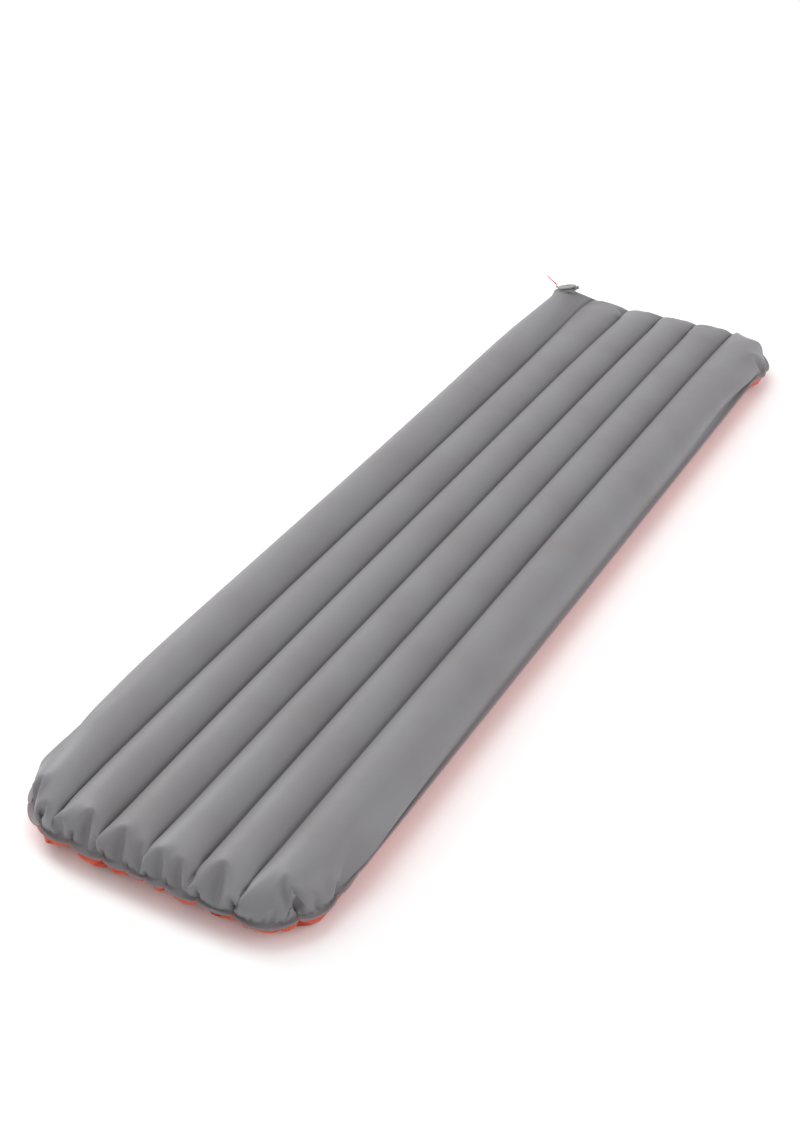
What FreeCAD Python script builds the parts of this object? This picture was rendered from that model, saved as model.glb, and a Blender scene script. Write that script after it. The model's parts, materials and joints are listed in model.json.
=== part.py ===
import FreeCAD, Part
import math
import os

import Sketcher

# Inflatable sleeping pad. The origin is on the floor under the middle of the pad, +Y runs
# lengthwise towards the head end, where the valve is, and +Z is up.

SIZES = {
    # pad, inflated
    "pad_length": 1830,
    "pad_width": 508,
    "weld_width": 9,
    "corner_radius": 69,
    "tube_pitch": 75,
    "groove_height": 40,
    "floor_flat": 0.3,
    "edge_band": 0.5,
    "sheet_gauge": 0.5,
    # inner baffles
    "baffle_gauge": 0.4,
    "baffle_inset": 45,
    "weld_strip": 12,
    # where the valve sits on the top sheet
    "seat_across": -205,
    "seat_along": 856,
    "seat_level": 95.5,
    "seat_tilt_out": 13,
    "seat_tilt_back": 10,
    "seat_radius": 25,
    "seat_depth": 16,
    # valve, measured up its axis from the bottom of the neck
    "seat_height": 9,
    "neck_radius": 16,
    "neck_bore": 14.2,
    "rim_radius": 20,
    "rim_top": 12.2,
    "flange_radius": 21,
    "flange_gauge": 1,
    "hinge_reach": 22.2,
    "hinge_height": 14.2,
    "pin_radius": 0.9,
    "pin_length": 14,
    "running_gap": 0.05,
    "ear_radius": 2.2,
    "ear_inner": 5,
    "ear_outer": 7,
    "knuckle_radius": 2,
    # deflate plug
    "plug_bottom": 4,
    "plug_foot_radius": 12.4,
    "plug_skirt_radius": 13.8,
    "plug_lip_radius": 18.6,
    "plug_lip_bottom": 12.9,
    "plug_lip_top": 13.9,
    "port_radius": 10,
    "port_bottom": 8,
    "throat_radius": 9,
    "spoke_width": 1.6,
    "spoke_bottom": 4.2,
    "spoke_top": 5.4,
    "hub_radius": 2.6,
    "hub_bore": 1.4,
    # one-way flap
    "flap_radius": 11,
    "flap_bottom": 3.1,
    "flap_top": 3.9,
    "stem_radius": 1.1,
    "button_radius": 2.2,
    "button_bottom": 7,
    "button_top": 7.8,
    # sealing rings
    "seal_gap": 0.1,
    "plug_seal_inner": 15,
    "plug_seal_outer": 17.5,
    "cap_seal_inner": 11,
    "cap_seal_outer": 13,
    # cap
    "cap_radius": 19.8,
    "cap_bottom": 14.5,
    "cap_top": 16.9,
    "cap_bevel": 0.8,
    "arm_top": 16,
    "arm_start": 17,
    "cap_knuckle": 1.6,
    "plug_knuckle_inner": 1.8,
    "plug_knuckle_outer": 4.7,
    "grip_along": 9,
    "grip_length": 12,
    "grip_width": 4,
    "grip_depth": 1.3,
    "tab_reach": 22.5,
    "tab_radius": 3.4,
    "tab_top": 16.2,
    # pull cord
    "cord_radius": 1.1,
    "knot_radius": 2.1,
    "tip_radius": 1.7,
    # how far blanks run past the faces that they join or cut
    "room_over_pad": 20,
    "ear_overlap": 2,
    "spoke_overlap": 0.5,
}

GROOVE_RISE = "(Sizes.groove_height / 2)"
INNER_RADIUS = "sqrt((Sizes.tube_pitch / 2)^2 + (Sizes.groove_height / 2)^2)"
OUTER_REACH = "(Sizes.pad_width / 2 - Sizes.weld_width - 2 * Sizes.tube_pitch)"
OUTER_RADIUS = f"(({OUTER_REACH}^2 + {GROOVE_RISE}^2) / (2 * {OUTER_REACH}))"
OUTER_CENTRE = f"(2 * Sizes.tube_pitch + {OUTER_REACH} - {OUTER_RADIUS})"
MIDDLE_LEVEL = f"({OUTER_RADIUS} - Sizes.floor_flat)"
TUBE_CENTRES = [
    (f"-{OUTER_CENTRE}", OUTER_RADIUS),
    ("-1.5 * Sizes.tube_pitch", INNER_RADIUS),
    ("-0.5 * Sizes.tube_pitch", INNER_RADIUS),
    ("0.5 * Sizes.tube_pitch", INNER_RADIUS),
    ("1.5 * Sizes.tube_pitch", INNER_RADIUS),
    (OUTER_CENTRE, OUTER_RADIUS),
]
BAFFLE_COUNT = 5
SPOKE_COUNT = 3
# The cord's route in the valve's frame, from the bottom of the tab's hole to its tip.
CORD_ROUTE = [
    (-22.5, 0.0, 14.5),
    (-22.5, 0.0, 20.5),
    (-30.0, 1.0, 26.8),
    (-35.5, 2.5, 30.2),
    (-42.0, 4.0, 36.4),
]
BEND_SHARE = 0.45  # of the shorter run beside a corner, taken by the corner's arc
KNOT_PLACE = 0.5  # of the way along the route's second run

doc = FreeCAD.newDocument("SleepingPad")
parts = []


def fill_sheet():
    sheet = doc.addObject("Spreadsheet::Sheet", "Sizes")
    for row, (alias, value) in enumerate(SIZES.items(), start=1):
        sheet.set(f"A{row}", alias)
        sheet.set(f"B{row}", str(value))
        sheet.setAlias(f"B{row}", alias)
    doc.recompute()


def size(alias):
    return float(doc.Sizes.get(alias))


def bind(item, **expressions):
    """Tie properties to the sheet. Two underscores in a name stand for a dot."""
    for name, expression in expressions.items():
        item.setExpression(name.replace("__", "."), expression)


def primitive(kind, name, turn=None, **expressions):
    item = doc.addObject(f"Part::{kind}", name)
    if turn:
        item.Placement.Rotation = turn
    bind(item, **expressions)
    return item


def joined(name, shapes):
    item = doc.addObject("Part::MultiFuse", name)
    item.Shapes = shapes
    item.Refine = False
    return item


def shared(name, first, second):
    item = doc.addObject("Part::Common", name)
    item.Base = first
    item.Tool = second
    item.Refine = False
    return item


def cut(name, first, second):
    item = doc.addObject("Part::Cut", name)
    item.Base = first
    item.Tool = second
    item.Refine = False
    return item


def keep(item, label):
    """Mark an object as a sub-part that is written out under its own label."""
    item.Label = label
    parts.append(item)
    return item


def plane(body, role):
    return next(item for item in body.Origin.OriginFeatures if item.Role == role)


def sketch_in(body, role):
    sketch = body.newObject("Sketcher::SketchObject", f"{body.Name}_sketch")
    sketch.AttachmentSupport = (plane(body, role), [""])
    sketch.MapMode = "FlatFace"
    return sketch


def hold_point(sketch, line, across, up):
    """Fix the start of a line at a place across and up from the sketch's origin."""
    for axis, place, other in (("X", across, -2), ("Y", up, -1)):
        if place == "0":
            sketch.addConstraint(Sketcher.Constraint("PointOnObject", line, 1, other))
            continue
        constraint = Sketcher.Constraint(f"Distance{axis}", -1, 1, line, 1, 1.0)
        index = sketch.addConstraint(constraint)
        sketch.setExpression(f"Constraints[{index}]", place)


def outline(sketch, corners):
    """A closed run of straight lines through corners given as expressions."""
    guesses = [tuple(float(doc.Sizes.evalExpression(word)) for word in corner) for corner in corners]
    for start, end in zip(guesses, guesses[1:] + guesses[:1]):
        ends = [FreeCAD.Vector(*start, 0), FreeCAD.Vector(*end, 0)]
        sketch.addGeometry(Part.LineSegment(*ends))
    count = len(corners)
    for line in range(count):
        sketch.addConstraint(Sketcher.Constraint("Coincident", line, 2, (line + 1) % count, 1))
    for line, (across, up) in enumerate(corners):
        hold_point(sketch, line, across, up)


def turned(name, corners, placement):
    """A piece turned about its own axis from an outline of (radius, height) corners."""
    body = doc.addObject("PartDesign::Body", name)
    sketch = sketch_in(body, "XZ_Plane")
    outline(sketch, corners)
    turn = body.newObject("PartDesign::Revolution", f"{name}_turn")
    turn.Profile = sketch
    turn.ReferenceAxis = (sketch, ["V_Axis"])
    turn.Angle = 360
    body.Placement = placement
    doc.recompute()
    return body


def ring(name, inner, outer, bottom, top, placement):
    corners = [(inner, bottom), (outer, bottom), (outer, top), (inner, top)]
    return turned(name, corners, placement)


def rounded_slab(name, inset, bottom, height, radius):
    """A flat slab with the pad's rounded outline, drawn in by inset on every side."""
    body = doc.addObject("PartDesign::Body", name)
    sketch = sketch_in(body, "XY_Plane")
    wide = f"(Sizes.pad_width / 2 - {inset})"
    long = f"(Sizes.pad_length / 2 - {inset})"
    outline(sketch, [(f"-{wide}", f"-{long}"), (wide, f"-{long}"), (wide, long), (f"-{wide}", long)])
    pad = body.newObject("PartDesign::Pad", f"{name}_pad")
    pad.Profile = sketch
    bind(pad, Length=height)
    bind(body, Placement__Base__z=bottom)
    doc.recompute()
    corners = body.newObject("PartDesign::Fillet", f"{name}_corners")
    corners.Base = (pad, upright_edges(pad.Shape))
    bind(corners, Radius=radius)
    doc.recompute()
    return body


def upright_edges(shape):
    names = []
    for number, edge in enumerate(shape.Edges, start=1):
        along = edge.Vertexes[-1].Point - edge.Vertexes[0].Point
        if abs(along.z) > abs(along.x) + abs(along.y):
            names.append(f"Edge{number}")
    return names


def level_edges(shape):
    names = []
    for number, edge in enumerate(shape.Edges, start=1):
        box = edge.BoundBox
        if box.ZLength < box.DiagonalLength / 2:
            names.append(f"Edge{number}")
    return names


def cells(name, inset):
    """The six tubes as one solid, drawn in by inset from the outside of the sheets."""
    tubes = []
    along = FreeCAD.Rotation(FreeCAD.Vector(1, 0, 0), -90)
    for number, (centre, radius) in enumerate(TUBE_CENTRES, start=1):
        tube = primitive(
            "Cylinder",
            f"{name}_tube_{number}",
            along,
            Radius=f"{radius} - {inset}",
            Height="Sizes.pad_length",
            Placement__Base__x=centre,
            Placement__Base__y="-Sizes.pad_length / 2",
            Placement__Base__z=MIDDLE_LEVEL,
        )
        tubes.append(tube)
    envelope = rounded_slab(
        f"{name}_envelope",
        f"(Sizes.weld_width + {inset})",
        inset,
        f"2 * ({MIDDLE_LEVEL} - {inset})",
        f"Sizes.corner_radius - Sizes.weld_width - {inset}",
    )
    upright = envelope.Tip
    rounding = envelope.newObject("PartDesign::Fillet", f"{name}_rounding")
    rounding.Base = (upright, level_edges(upright.Shape))
    bind(rounding, Radius=f"{MIDDLE_LEVEL} - Sizes.edge_band - {inset}")
    doc.recompute()
    return shared(name, joined(f"{name}_tubes", tubes), envelope)


def slab_between(name, width, length, bottom, top, centre="0"):
    return primitive(
        "Box",
        name,
        Width=length,
        Length=width,
        Height=f"{top} - {bottom}",
        Placement__Base__x=f"{centre} - {width} / 2",
        Placement__Base__y=f"-{length} / 2",
        Placement__Base__z=bottom,
    )


def valve_place():
    """The valve's own frame: its origin at the bottom of the neck, its Z out of the pad."""
    back = FreeCAD.Rotation(FreeCAD.Vector(1, 0, 0), -size("seat_tilt_back"))
    out = FreeCAD.Rotation(FreeCAD.Vector(0, 1, 0), -size("seat_tilt_out"))
    turn = back * out
    seat = FreeCAD.Vector(size("seat_across"), size("seat_along"), size("seat_level"))
    bottom = seat - turn.multVec(FreeCAD.Vector(0, 0, size("seat_height")))
    return FreeCAD.Placement(bottom, turn)


def sheets(place):
    """The two welded sheets. Returns the solid of the air that they hold and its lining."""
    gauge = "Sizes.sheet_gauge"
    outside = cells("outside", "0")
    inside = cells("inside", gauge)
    lining = cells("lining", f"2 * {gauge}")
    lining_skin = cut("lining_skin", inside, lining)
    base = "Sizes.seat_height - Sizes.seat_depth"
    raised = post("raised_seat", "Sizes.seat_radius", base, "Sizes.seat_height", place)
    hollow = post(
        "hollow_seat",
        f"Sizes.seat_radius - {gauge}",
        base,
        f"Sizes.seat_height - {gauge}",
        place,
    )
    sky = "Sizes.seat_height + Sizes.seat_depth"
    over_seat = post("over_seat", "Sizes.seat_radius", "Sizes.seat_height", sky, place)
    over_lining = post(
        "over_lining",
        f"Sizes.seat_radius + {gauge}",
        f"Sizes.seat_height - {gauge}",
        sky,
        place,
    )
    neck_hole = post("neck_hole", "Sizes.neck_radius", "0", "Sizes.rim_top", place)
    air = cut("air", joined("air_blank", [inside, hollow]), over_lining)
    ceiling = f"2 * {MIDDLE_LEVEL} + Sizes.room_over_pad"
    plan = ("Sizes.pad_width", "Sizes.pad_length")
    room = slab_between("upper_room", *plan, MIDDLE_LEVEL, ceiling)
    under = slab_between("lower_room", *plan, "0", MIDDLE_LEVEL)
    top_weld = rounded_slab("top_weld", "0", MIDDLE_LEVEL, gauge, "Sizes.corner_radius")
    low_weld = rounded_slab(
        "bottom_weld", "0", f"{MIDDLE_LEVEL} - {gauge}", gauge, "Sizes.corner_radius"
    )
    seated = cut("seated", joined("crown_and_seat", [outside, raised]), over_seat)
    crown = shared("crown", seated, room)
    belly = shared("belly", outside, under)
    upper = cut("top_walls", joined("top_blank", [crown, top_weld]), air)
    keep(cut("top", upper, neck_hole), "top_sheet")
    keep(cut("bottom", joined("bottom_blank", [belly, low_weld]), air), "bottom_sheet")
    return air, lining_skin


def post(name, radius, bottom, top, place):
    """A plain round post up the valve's axis."""
    item = doc.addObject("Part::Cylinder", name)
    bind(item, Radius=radius, Height=f"({top}) - ({bottom})")
    doc.recompute()
    foot = float(doc.Sizes.evalExpression(bottom))
    lift = place.Rotation.multVec(FreeCAD.Vector(0, 0, foot))
    item.Placement = FreeCAD.Placement(place.Base + lift, place.Rotation)
    return item


def baffles(air, lining_skin):
    """Five webs, each with a welded strip along the inside of both sheets."""
    length = "(Sizes.pad_length - 2 * Sizes.baffle_inset)"
    ceiling = f"2 * {MIDDLE_LEVEL}"
    for number in range(1, BAFFLE_COUNT + 1):
        centre = f"{number - (BAFFLE_COUNT + 1) // 2} * Sizes.tube_pitch"
        web = slab_between(
            f"web_{number}", "Sizes.baffle_gauge", length, "0", ceiling, centre
        )
        band = slab_between(
            f"band_{number}", "Sizes.weld_strip", length, "0", ceiling, centre
        )
        strips = shared(f"strips_{number}", band, lining_skin)
        tool = joined(f"web_and_strips_{number}", [web, strips])
        keep(shared(f"inner_baffle_{number}", tool, air), f"baffle_{number}")


def box_on_valve(name, place, across, along, up):
    """A box in the valve's frame from (low, high) pairs of expressions."""
    item = doc.addObject("Part::Box", name)
    spans = [f"({high}) - ({low})" for low, high in (across, along, up)]
    bind(item, Length=spans[0], Width=spans[1], Height=spans[2])
    doc.recompute()
    low = [float(doc.Sizes.evalExpression(pair[0])) for pair in (across, along, up)]
    item.Placement = place * FreeCAD.Placement(FreeCAD.Vector(*low), FreeCAD.Rotation())
    return item


def hinge_rod(name, place, radius, start, end):
    """A round rod on the hinge line between two places along it."""
    item = doc.addObject("Part::Cylinder", name)
    bind(item, Radius=radius, Height=f"({end}) - ({start})")
    doc.recompute()
    begin = float(doc.Sizes.evalExpression(start))
    at = FreeCAD.Vector(size("hinge_reach"), begin, size("hinge_height"))
    along = FreeCAD.Rotation(FreeCAD.Vector(1, 0, 0), -90)
    item.Placement = place * FreeCAD.Placement(at, along)
    return item


def valve_body(place):
    """The neck and rim with two hinge ears, the ring welded inside the sheet and the pin."""
    corners = [
        ("Sizes.neck_bore", "0"),
        ("Sizes.neck_radius", "0"),
        ("Sizes.neck_radius", "Sizes.seat_height"),
        ("Sizes.rim_radius", "Sizes.seat_height"),
        ("Sizes.rim_radius", "Sizes.rim_top"),
        ("Sizes.neck_bore", "Sizes.rim_top"),
    ]
    pieces = [turned("neck_and_rim", corners, place)]
    reach = ("Sizes.hinge_reach - Sizes.ear_radius", "Sizes.hinge_reach + Sizes.ear_radius")
    for side, sign in (("head", ""), ("foot", "-")):
        span = (f"{sign}Sizes.ear_inner", f"{sign}Sizes.ear_outer")
        low, high = span if side == "head" else span[::-1]
        root = ("Sizes.rim_radius - Sizes.ear_overlap", reach[1])
        rim = ("Sizes.seat_height", "Sizes.rim_top")
        upright = ("Sizes.rim_top", "Sizes.hinge_height")
        pieces.append(box_on_valve(f"ear_root_{side}", place, root, (low, high), rim))
        pieces.append(box_on_valve(f"ear_{side}", place, reach, (low, high), upright))
        pieces.append(hinge_rod(f"ear_round_{side}", place, "Sizes.ear_radius", low, high))
    half_pin = ("-Sizes.pin_length / 2", "Sizes.pin_length / 2")
    bore = hinge_rod("ear_bore", place, "Sizes.pin_radius", *half_pin)
    keep(cut("body_of_valve", joined("body_blank", pieces), bore), "valve_body")
    keep(hinge_rod("pin", place, "Sizes.pin_radius", *half_pin), "hinge_pin")
    under = "Sizes.seat_height - Sizes.sheet_gauge"
    flange = ring(
        "inner_flange",
        "Sizes.neck_radius",
        "Sizes.flange_radius",
        f"{under} - Sizes.flange_gauge",
        under,
        place,
    )
    keep(flange, "valve_flange")


def knuckle(name, place, span, arm):
    """A hinge knuckle with the arm that joins it to its lid."""
    reach = ("Sizes.arm_start", "Sizes.hinge_reach")
    return [
        box_on_valve(f"{name}_arm", place, reach, span, arm),
        hinge_rod(f"{name}_round", place, "Sizes.knuckle_radius", *span),
    ]


def knuckle_bore(name, place):
    half_pin = ("-Sizes.pin_length / 2", "Sizes.pin_length / 2")
    return hinge_rod(name, place, "Sizes.pin_radius + Sizes.running_gap", *half_pin)


def deflate_plug(place):
    """The tapered plug that opens to empty the pad. Its port takes the pump or the breath."""
    corners = [
        ("Sizes.throat_radius", "Sizes.plug_bottom"),
        ("Sizes.plug_foot_radius", "Sizes.plug_bottom"),
        ("Sizes.plug_skirt_radius", "Sizes.plug_lip_bottom"),
        ("Sizes.plug_lip_radius", "Sizes.plug_lip_bottom"),
        ("Sizes.plug_lip_radius", "Sizes.plug_lip_top"),
        ("Sizes.port_radius", "Sizes.plug_lip_top"),
        ("Sizes.port_radius", "Sizes.port_bottom"),
        ("Sizes.throat_radius", "Sizes.port_bottom"),
    ]
    pieces = [turned("plug_ring", corners, place)]
    spokes = ("Sizes.spoke_bottom", "Sizes.spoke_top")
    pieces.append(post("hub", "Sizes.hub_radius", *spokes, place))
    for number in range(SPOKE_COUNT):
        angle = number * 360 / SPOKE_COUNT
        turn = FreeCAD.Rotation(FreeCAD.Vector(0, 0, 1), angle)
        spoke_place = place * FreeCAD.Placement(FreeCAD.Vector(), turn)
        reach = (
            "Sizes.hub_bore + Sizes.spoke_overlap",
            "Sizes.throat_radius + Sizes.spoke_overlap",
        )
        width = ("-Sizes.spoke_width / 2", "Sizes.spoke_width / 2")
        pieces.append(box_on_valve(f"spoke_{number}", spoke_place, reach, width, spokes))
    arm = ("Sizes.plug_lip_bottom", "Sizes.plug_lip_top")
    near = ("Sizes.plug_knuckle_inner", "Sizes.plug_knuckle_outer")
    far = ("-Sizes.plug_knuckle_outer", "-Sizes.plug_knuckle_inner")
    pieces += knuckle("plug_knuckle_head", place, near, arm)
    pieces += knuckle("plug_knuckle_foot", place, far, arm)
    holes = [
        knuckle_bore("plug_pin_hole", place),
        post("stem_hole", "Sizes.hub_bore", *spokes, place),
    ]
    keep(cut("plug", joined("plug_blank", pieces), joined("plug_holes", holes)), "deflate_plug")
    seal = ring(
        "plug_ring_seal",
        "Sizes.plug_seal_inner",
        "Sizes.plug_seal_outer",
        "Sizes.rim_top + Sizes.seal_gap",
        "Sizes.plug_lip_bottom",
        place,
    )
    keep(seal, "plug_seal")


def one_way_flap(place):
    disc = post("flap_disc", "Sizes.flap_radius", "Sizes.flap_bottom", "Sizes.flap_top", place)
    stem = post("flap_stem", "Sizes.stem_radius", "Sizes.flap_top", "Sizes.button_bottom", place)
    keep(joined("flap", [disc, stem]), "one_way_flap")
    button = post(
        "button", "Sizes.button_radius", "Sizes.button_bottom", "Sizes.button_top", place
    )
    keep(button, "flap_button")


def valve_cap(place):
    """The flat cap: grip recess, hinge knuckle and, opposite it, the tab that holds the cord."""
    bevel_low = "Sizes.cap_top - Sizes.cap_bevel"
    corners = [
        ("0", "Sizes.cap_bottom"),
        ("Sizes.cap_radius", "Sizes.cap_bottom"),
        ("Sizes.cap_radius", bevel_low),
        ("Sizes.cap_radius - Sizes.cap_bevel", "Sizes.cap_top"),
        ("0", "Sizes.cap_top"),
    ]
    height = ("Sizes.cap_bottom", "Sizes.tab_top")
    tab_side = ("-Sizes.tab_radius", "Sizes.tab_radius")
    round_place = place * FreeCAD.Placement(
        FreeCAD.Vector(-size("tab_reach"), 0, 0), FreeCAD.Rotation()
    )
    span = ("-Sizes.cap_knuckle", "Sizes.cap_knuckle")
    pieces = [
        turned("cap_disc", corners, place),
        box_on_valve("tab", place, ("-Sizes.tab_reach", "-Sizes.arm_start"), tab_side, height),
        post("tab_round", "Sizes.tab_radius", *height, round_place),
    ]
    pieces += knuckle("cap_knuckle", place, span, ("Sizes.cap_bottom", "Sizes.arm_top"))
    grip = box_on_valve(
        "grip",
        place,
        ("-Sizes.grip_length / 2", "Sizes.grip_length / 2"),
        ("Sizes.grip_along - Sizes.grip_width / 2", "Sizes.grip_along + Sizes.grip_width / 2"),
        ("Sizes.cap_top - Sizes.grip_depth", "Sizes.cap_top"),
    )
    holes = [
        grip,
        knuckle_bore("cap_pin_hole", place),
        post("cord_hole", "Sizes.cord_radius", *height, round_place),
    ]
    keep(cut("cap", joined("cap_blank", pieces), joined("cap_holes", holes)), "valve_cap")
    seal = ring(
        "cap_ring_seal",
        "Sizes.cap_seal_inner",
        "Sizes.cap_seal_outer",
        "Sizes.plug_lip_top + Sizes.seal_gap",
        "Sizes.cap_bottom",
        place,
    )
    keep(seal, "cap_seal")


def bent_run(points):
    """Straight runs joined by tangent arcs, each as large as its two runs allow."""
    edges = []
    start = points[0]
    for before, corner, after in zip(points, points[1:], points[2:]):
        inward = (before - corner).normalize()
        outward = (after - corner).normalize()
        half_turn = (FreeCAD.Vector() - inward).getAngle(outward) / 2
        trim = BEND_SHARE * min((before - corner).Length, (after - corner).Length)
        first = corner + inward * trim
        last = corner + outward * trim
        middle_way = (inward + outward).normalize()
        radius = trim / math.tan(half_turn)
        centre = corner + middle_way * (radius**2 + trim**2) ** 0.5
        crest = centre - middle_way * radius
        edges.append(Part.makeLine(start, first))
        edges.append(Part.Arc(first, crest, last).toShape())
        start = last
    edges.append(Part.makeLine(start, points[-1]))
    return Part.Wire(edges)


def pull_cord(place):
    """The pull cord with a knot above the tab and a sealed tip."""
    points = [FreeCAD.Vector(*point) for point in CORD_ROUTE]
    path = bent_run(points)
    start_circle = Part.makeCircle(size("cord_radius"), points[0], FreeCAD.Vector(0, 0, 1))
    tube = path.makePipeShell([Part.Wire([start_circle])], True, False)
    knot_way = points[2] - points[1]
    knot_at = points[1] + knot_way * KNOT_PLACE
    knot = Part.makeSphere(size("knot_radius"), knot_at)
    tip = Part.makeSphere(size("tip_radius"), points[-1])
    shapes = {"pull_cord": tube, "cord_knot": knot.cut(tube), "cord_tip": tip.cut(tube)}
    for label, shape in shapes.items():
        item = doc.addObject("Part::Feature", f"shape_of_{label}")
        item.Shape = shape
        item.Placement = place
        keep(item, label)


def check_document():
    for item in doc.Objects:
        if "Invalid" in item.State or "Error" in item.State:
            raise RuntimeError(f"{item.Name} did not compute: {item.State}")
    for item in parts:
        if item.Shape.isNull() or not item.Shape.isValid():
            raise RuntimeError(f"{item.Label} has no valid shape")
        print(item.Label, len(item.Shape.Solids), round(item.Shape.Volume, 1))


fill_sheet()
valve_frame = valve_place()
held_air, skin = sheets(valve_frame)
baffles(held_air, skin)
valve_body(valve_frame)
deflate_plug(valve_frame)
one_way_flap(valve_frame)
valve_cap(valve_frame)
pull_cord(valve_frame)
doc.recompute()
check_document()
os.makedirs("parts", exist_ok=True)
for part in parts:
    part.Shape.exportStep(f"parts/{part.Label}.step")
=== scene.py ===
import json
import math

import bmesh
import bpy
import numpy as np
from mathutils import Matrix, Vector


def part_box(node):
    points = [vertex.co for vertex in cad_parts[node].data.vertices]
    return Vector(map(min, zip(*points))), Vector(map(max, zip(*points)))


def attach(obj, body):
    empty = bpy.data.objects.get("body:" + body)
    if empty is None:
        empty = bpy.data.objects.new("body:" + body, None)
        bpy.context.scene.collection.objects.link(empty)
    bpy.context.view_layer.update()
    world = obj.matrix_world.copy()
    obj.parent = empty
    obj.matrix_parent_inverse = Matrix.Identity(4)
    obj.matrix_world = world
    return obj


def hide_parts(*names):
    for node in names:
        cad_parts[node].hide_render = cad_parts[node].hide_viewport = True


# Inflatable sleeping pad: the two sheets are cut flat, welded, tied by the baffles and blown up by
# a small cloth solver, and the valve is the CAD one with its finishes. Lengths are in metres, and
# in millimetres inside the solver.

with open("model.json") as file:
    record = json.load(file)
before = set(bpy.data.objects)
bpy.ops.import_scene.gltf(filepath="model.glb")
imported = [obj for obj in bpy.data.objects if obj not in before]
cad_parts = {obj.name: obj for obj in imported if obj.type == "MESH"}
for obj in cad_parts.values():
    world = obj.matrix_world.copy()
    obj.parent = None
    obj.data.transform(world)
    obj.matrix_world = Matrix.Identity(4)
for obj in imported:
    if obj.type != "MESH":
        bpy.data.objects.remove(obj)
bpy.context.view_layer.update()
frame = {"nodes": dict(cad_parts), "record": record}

MM = 0.001
SEED = 4

# ---- the inflated sheets: sizes in millimetres ----
WELD = 9.0
GROOVE_HEIGHT = 40.0
GAUGE = 0.4
# the cut length and the grooves' ends were picked from trials against the photo
FLAT_LENGTH = 1872.0
FLAT_CORNER = 138.0
FOOT_INSETS = [56.0, 48.0, 42.0, 48.0, 56.0]
HEAD_INSETS = [26.0, 26.0, 26.0, 26.0, 30.0]
INNER_CELLS = 24
OUTER_CELLS = 36
WELD_CELLS = 3
FINE_STEP = 3.8
FINE_SPAN = 150.0
STEP_GROWTH = 1.08
LONGEST_STEP = 45.0
STEPS = 1300
PRESSURE = 0.0015
WEIGHT = 0.000005
FASTEST = 0.8
DIAGONAL_STIFFNESS = 0.6
BENDING = 0.004
# where the creases reach the end welds, in millimetres along the weld from the pad's middle line
FOOT_CREASES = [-372, -331, -292, -232, -180, -122, -64, -25, 6, 38, 89, 142, 232, 296, 338, 380]
HEAD_CREASES = [
    -380, -340, -300, -236, -172, -131, -88, -38, -3, 41, 77, 118, 165, 224, 290, 334, 376,
]
END_BOW = 11.0
PLAN_CORNER = 88.0
LOBE_SHARE = 0.09
LOBE_MOST = 9.0
FLANGE_DROP = 12.0
LOBE_OUT = 0.5
LOBE_DOWN = 0.85
PULL_IN_FOOT = 9.0
PULL_IN_HEAD = -2.0
TUCK_MOUTH = 0.8
TUCK_RISE = 0.1
TUCKED = 0.85
APART_SPAN = 45.0
APART_SLOPE = 0.12
END_FADE = 60.0
NO_LIMIT = 999
# the shape the solver starts from
START_ROUND = 44.0
START_NOISE = 0.5
WELD_FADE = 14.0
WELD_FADE_REACH = 90
# the solver's damping, and the share of the steps before it grows stronger
EARLY_SHARE = 0.6
EARLY_DAMPING = 0.985
LATE_DAMPING = 0.96
PRESSURE_RAMP = 100


class Shape:
    """Sizes of the inflated section that the CAD sheets have."""

    def __init__(self, half_width, half_length, pitch, middle):
        self.pitch = pitch
        self.half_width = half_width
        self.half_length = half_length
        self.middle = middle
        reach = half_width - WELD - 2 * pitch
        rise = GROOVE_HEIGHT / 2
        self.outer_radius = (reach**2 + rise**2) / (2 * reach)
        self.outer_centre = 2 * pitch + reach - self.outer_radius
        self.inner_radius = math.hypot(pitch / 2, rise)
        self.groove_angle = math.asin((self.outer_centre - 2 * pitch) / self.outer_radius)
        self.inner_arc = 2 * self.inner_radius * math.asin(pitch / 2 / self.inner_radius)
        self.outer_arc = self.outer_radius * (self.groove_angle + math.pi / 2)
        self.flat_half = 2 * self.inner_arc + self.outer_arc + WELD
        self.flat_end = FLAT_LENGTH / 2


def flat_columns(shape):
    inner = np.linspace(0, 2 * shape.inner_arc, 2 * INNER_CELLS + 1)
    outer = 2 * shape.inner_arc + np.linspace(0, shape.outer_arc, OUTER_CELLS + 1)[1:]
    weld = shape.flat_half - WELD + np.linspace(0, WELD, WELD_CELLS + 1)[1:]
    right = np.concatenate([inner, outer, weld])
    return np.concatenate([-right[:0:-1], right])


def flat_rows(shape):
    """Rows from the foot to the head: close together at the ends, far apart in the middle."""
    rows = list(np.linspace(0, WELD, WELD_CELLS + 1))
    while rows[-1] < FINE_SPAN:
        rows.append(rows[-1] + FINE_STEP)
    fine = len(rows) - 1
    step = FINE_STEP
    while rows[-1] < shape.flat_end - step / 2:
        step = min(step * STEP_GROWTH, LONGEST_STEP)
        rows.append(rows[-1] + step)
    rows = np.array(rows)
    grown = rows[fine:] - rows[fine]
    rows[fine:] = rows[fine] + grown * (shape.flat_end - rows[fine]) / grown[-1]
    return np.concatenate([rows - shape.flat_end, (shape.flat_end - rows)[-2::-1]])


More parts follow.
